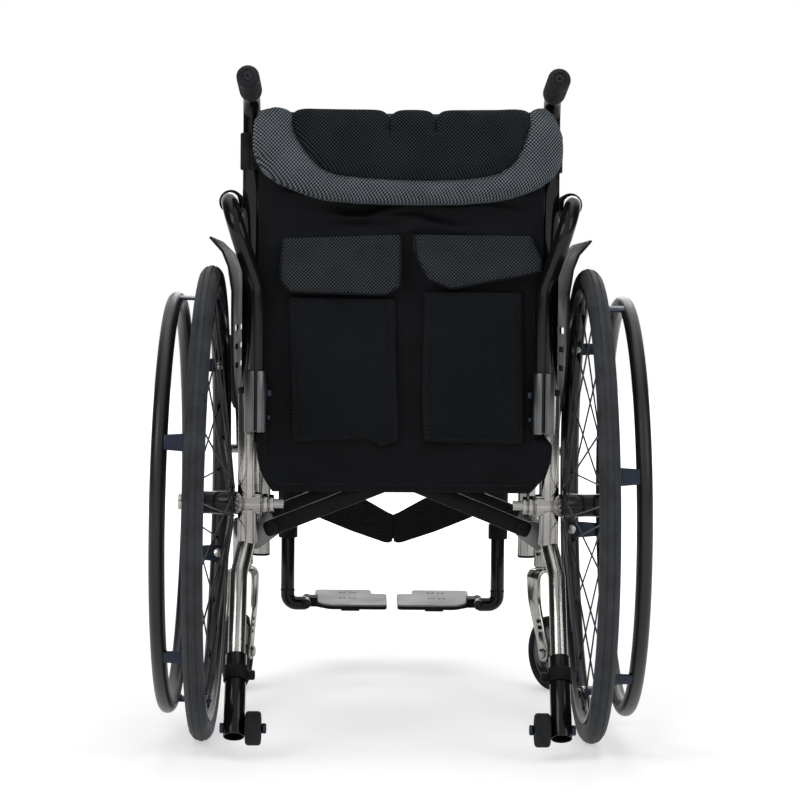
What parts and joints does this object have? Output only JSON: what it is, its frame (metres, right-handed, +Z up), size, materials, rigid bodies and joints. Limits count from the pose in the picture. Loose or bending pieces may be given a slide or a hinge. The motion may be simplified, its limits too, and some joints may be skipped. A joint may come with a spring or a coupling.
{
  "type": "wheelchair",
  "caption": "Folding self-propelled wheelchair with hand-ring rear wheels, swivel casters, push handles, back pockets, swing-away footrests and anti-tip rollers.",
  "frame": {"origin": "centre of the bounding box at floor level, under the seat", "axes": "+Z up, +Y the way the user faces, +X the user's right"},
  "size_m": [0.5834, 0.9794, 0.8299],
  "materials": {
    "chrome": "mirror-bright plated steel tube",
    "satin_steel": "satin silver",
    "black_paint": "gloss black",
    "rubber": "matt dark grey",
    "plastic": "satin black moulding",
    "footplate": "matt grey, lightly grained",
    "foam": "matt black foam",
    "nylon": "black woven nylon with a slight sheen",
    "mesh": "dark blue-grey spacer mesh",
    "webbing": "black woven webbing"
  },
  "bodies": {
    "left_frame": {"left_side_frame": "chrome", "left_back_cane": "black_paint", "left_push_grip": "rubber", "left_armrest_socket": "satin_steel", "left_side_guard": "plastic", "left_wheel_lock_mount": "plastic", "left_axle": "chrome", "left_cane_strap": "webbing", "back_upholstery": "nylon", "backrest_pad": "mesh", "left_pocket": "mesh", "right_pocket": "mesh", "calf_strap": "webbing"},
    "left_brace": {"left_cross_brace": "black_paint"},
    "right_brace": {"right_cross_brace": "black_paint"},
    "right_frame": {"right_side_frame": "chrome", "right_back_cane": "black_paint", "right_push_grip": "rubber", "right_armrest_socket": "satin_steel", "right_side_guard": "plastic", "right_wheel_lock_mount": "plastic", "right_axle": "chrome", "right_cane_strap": "webbing"},
    "seat": {"seat_sling": "nylon"},
    "left_rear_wheel": {"left_tyre": "rubber", "left_rim_and_spokes": "black_paint", "left_hub": "black_paint", "left_pushrim": "black_paint"},
    "left_caster": {"left_caster_fork": "chrome"},
    "left_caster_wheel": {"left_caster_tyre": "rubber", "left_caster_rim": "satin_steel"},
    "left_armrest": {"left_armrest_tube": "black_paint", "left_armrest_pad": "foam"},
    "left_wheel_lock": {"left_wheel_lock_lever": "black_paint"},
    "left_anti_tip": {"left_anti_tip_tube": "black_paint", "left_anti_tip_clamp": "plastic"},
    "left_anti_tip_wheel": {"left_anti_tip_roller": "rubber"},
    "left_footrest": {"left_hanger": "black_paint"},
    "left_foot_tube": {"left_footrest_tube": "black_paint"},
    "left_footplate": {"left_footplate": "footplate"},
    "left_flap": {"left_pocket_flap": "mesh"},
    "right_rear_wheel": {"right_tyre": "rubber", "right_rim_and_spokes": "black_paint", "right_hub": "black_paint", "right_pushrim": "black_paint"},
    "right_caster": {"right_caster_fork": "chrome"},
    "right_caster_wheel": {"right_caster_tyre": "rubber", "right_caster_rim": "satin_steel"},
    "right_armrest": {"right_armrest_tube": "black_paint", "right_armrest_pad": "foam"},
    "right_wheel_lock": {"right_wheel_lock_lever": "black_paint"},
    "right_anti_tip": {"right_anti_tip_tube": "black_paint", "right_anti_tip_clamp": "plastic"},
    "right_anti_tip_wheel": {"right_anti_tip_roller": "rubber"},
    "right_footrest": {"right_hanger": "black_paint"},
    "right_foot_tube": {"right_footrest_tube": "black_paint"},
    "right_footplate": {"right_footplate": "footplate"},
    "right_flap": {"right_pocket_flap": "mesh"}
  },
  "joints": [
    {"name": "fold", "type": "hinge", "parent": "left_frame", "child": "left_brace", "pos_m": [-0.158, -0.15365, 0.263], "axis": [0, -1, 0], "range_deg": [0, 48.3], "deforming": ["seat_sling", "back_upholstery", "backrest_pad", "left_pocket", "right_pocket", "left_pocket_flap", "right_pocket_flap", "calf_strap"]},
    {"name": "brace_scissor", "type": "hinge", "parent": "left_brace", "child": "right_brace", "pos_m": [0, -0.15365, 0.32588], "axis": [0, -1, 0], "range_deg": [-96.6, 0]},
    {"name": "right_frame_level", "type": "hinge", "parent": "right_brace", "child": "right_frame", "pos_m": [0.158, -0.15365, 0.263], "axis": [0, -1, 0], "range_deg": [0, 48.3]},
    {"name": "seat_level", "type": "hinge", "parent": "left_brace", "child": "seat", "pos_m": [0.1885, 0.00635, 0.40089], "axis": [0, -1, 0], "range_deg": [-48.3, 0]},
    {"name": "left_wheel_spin", "type": "hinge", "parent": "left_frame", "child": "left_rear_wheel", "pos_m": [-0.2377, -0.19365, 0.29598], "axis": [0.9999, 0, -0.0115], "continuous": true},
    {"name": "left_caster_swivel", "type": "hinge", "parent": "left_frame", "child": "left_caster", "pos_m": [-0.215, 0.23635, 0.2], "axis": [0, 0, 1], "continuous": true},
    {"name": "left_caster_spin", "type": "hinge", "parent": "left_caster", "child": "left_caster_wheel", "pos_m": [-0.22021, 0.20681, 0.0525], "axis": [0.9848, -0.1736, 0], "continuous": true},
    {"name": "left_armrest_swing", "type": "hinge", "parent": "left_frame", "child": "left_armrest", "pos_m": [-0.1778, -0.21898, 0.42], "axis": [0, 0, 1], "range_deg": [0, 90]},
    {"name": "left_wheel_lock", "type": "hinge", "parent": "left_frame", "child": "left_wheel_lock", "pos_m": [-0.212, 0.14135, 0.396], "axis": [-1, 0, 0], "range_deg": [0, 18.9]},
    {"name": "left_anti_tip_height", "type": "slide", "parent": "left_frame", "child": "left_anti_tip", "axis": [-0.0046, 0.5375, 0.8433], "range_m": [0, 0.03]},
    {"name": "left_anti_tip_spin", "type": "hinge", "parent": "left_anti_tip", "child": "left_anti_tip_wheel", "pos_m": [-0.17315, -0.33774, 0.03728], "axis": [1, 0, 0], "continuous": true},
    {"name": "left_footrest_swing", "type": "hinge", "parent": "left_frame", "child": "left_footrest", "pos_m": [-0.1885, 0.24885, 0.31], "axis": [0, 0, 1], "range_deg": [0, 75]},
    {"name": "left_footrest_height", "type": "slide", "parent": "left_footrest", "child": "left_foot_tube", "axis": [0, 0, 1], "range_m": [0, 0.04]},
    {"name": "left_footplate_flip", "type": "hinge", "parent": "left_foot_tube", "child": "left_footplate", "pos_m": [-0.127, 0.37135, 0.105], "axis": [0, -1, 0], "range_deg": [0, 109]},
    {"name": "left_flap_lift", "type": "hinge", "parent": "left_frame", "child": "left_flap", "pos_m": [-0.0755, -0.20345, 0.6315], "axis": [-1, 0, 0], "range_deg": [0, 110]},
    {"name": "right_wheel_spin", "type": "hinge", "parent": "right_frame", "child": "right_rear_wheel", "pos_m": [0.2377, -0.19365, 0.29598], "axis": [0.9999, 0, 0.0115], "continuous": true},
    {"name": "right_caster_swivel", "type": "hinge", "parent": "right_frame", "child": "right_caster", "pos_m": [0.215, 0.23635, 0.2], "axis": [0, 0, 1], "continuous": true},
    {"name": "right_caster_spin", "type": "hinge", "parent": "right_caster", "child": "right_caster_wheel", "pos_m": [0.23, 0.21037, 0.0525], "axis": [0.866, 0.5, 0], "continuous": true},
    {"name": "right_armrest_swing", "type": "hinge", "parent": "right_frame", "child": "right_armrest", "pos_m": [0.1778, -0.21898, 0.42], "axis": [0, 0, -1], "range_deg": [0, 90]},
    {"name": "right_wheel_lock", "type": "hinge", "parent": "right_frame", "child": "right_wheel_lock", "pos_m": [0.212, 0.14135, 0.396], "axis": [-1, 0, 0], "range_deg": [0, 18.9]},
    {"name": "right_anti_tip_height", "type": "slide", "parent": "right_frame", "child": "right_anti_tip", "axis": [0.0046, 0.5375, 0.8433], "range_m": [0, 0.03]},
    {"name": "right_anti_tip_spin", "type": "hinge", "parent": "right_anti_tip", "child": "right_anti_tip_wheel", "pos_m": [0.17315, -0.33774, 0.03728], "axis": [1, 0, 0], "continuous": true},
    {"name": "right_footrest_swing", "type": "hinge", "parent": "right_frame", "child": "right_footrest", "pos_m": [0.1885, 0.24885, 0.31], "axis": [0, 0, -1], "range_deg": [0, 75]},
    {"name": "right_footrest_height", "type": "slide", "parent": "right_footrest", "child": "right_foot_tube", "axis": [0, 0, 1], "range_m": [0, 0.04]},
    {"name": "right_footplate_flip", "type": "hinge", "parent": "right_foot_tube", "child": "right_footplate", "pos_m": [0.127, 0.37135, 0.105], "axis": [0, 1, 0], "range_deg": [0, 109]},
    {"name": "right_flap_lift", "type": "hinge", "parent": "left_frame", "child": "right_flap", "pos_m": [0.094, -0.20345, 0.634], "axis": [-0.9997, 0, -0.025], "range_deg": [0, 110]}
  ],
  "couplings": [
    {"joint": "brace_scissor", "follows": "fold", "ratio": -2},
    {"joint": "right_frame_level", "follows": "fold", "ratio": 1},
    {"joint": "seat_level", "follows": "fold", "ratio": -1},
    {"joint": "left_footplate_flip", "follows": "fold", "ratio": 2.25},
    {"joint": "right_footplate_flip", "follows": "fold", "ratio": 2.25}
  ]
}
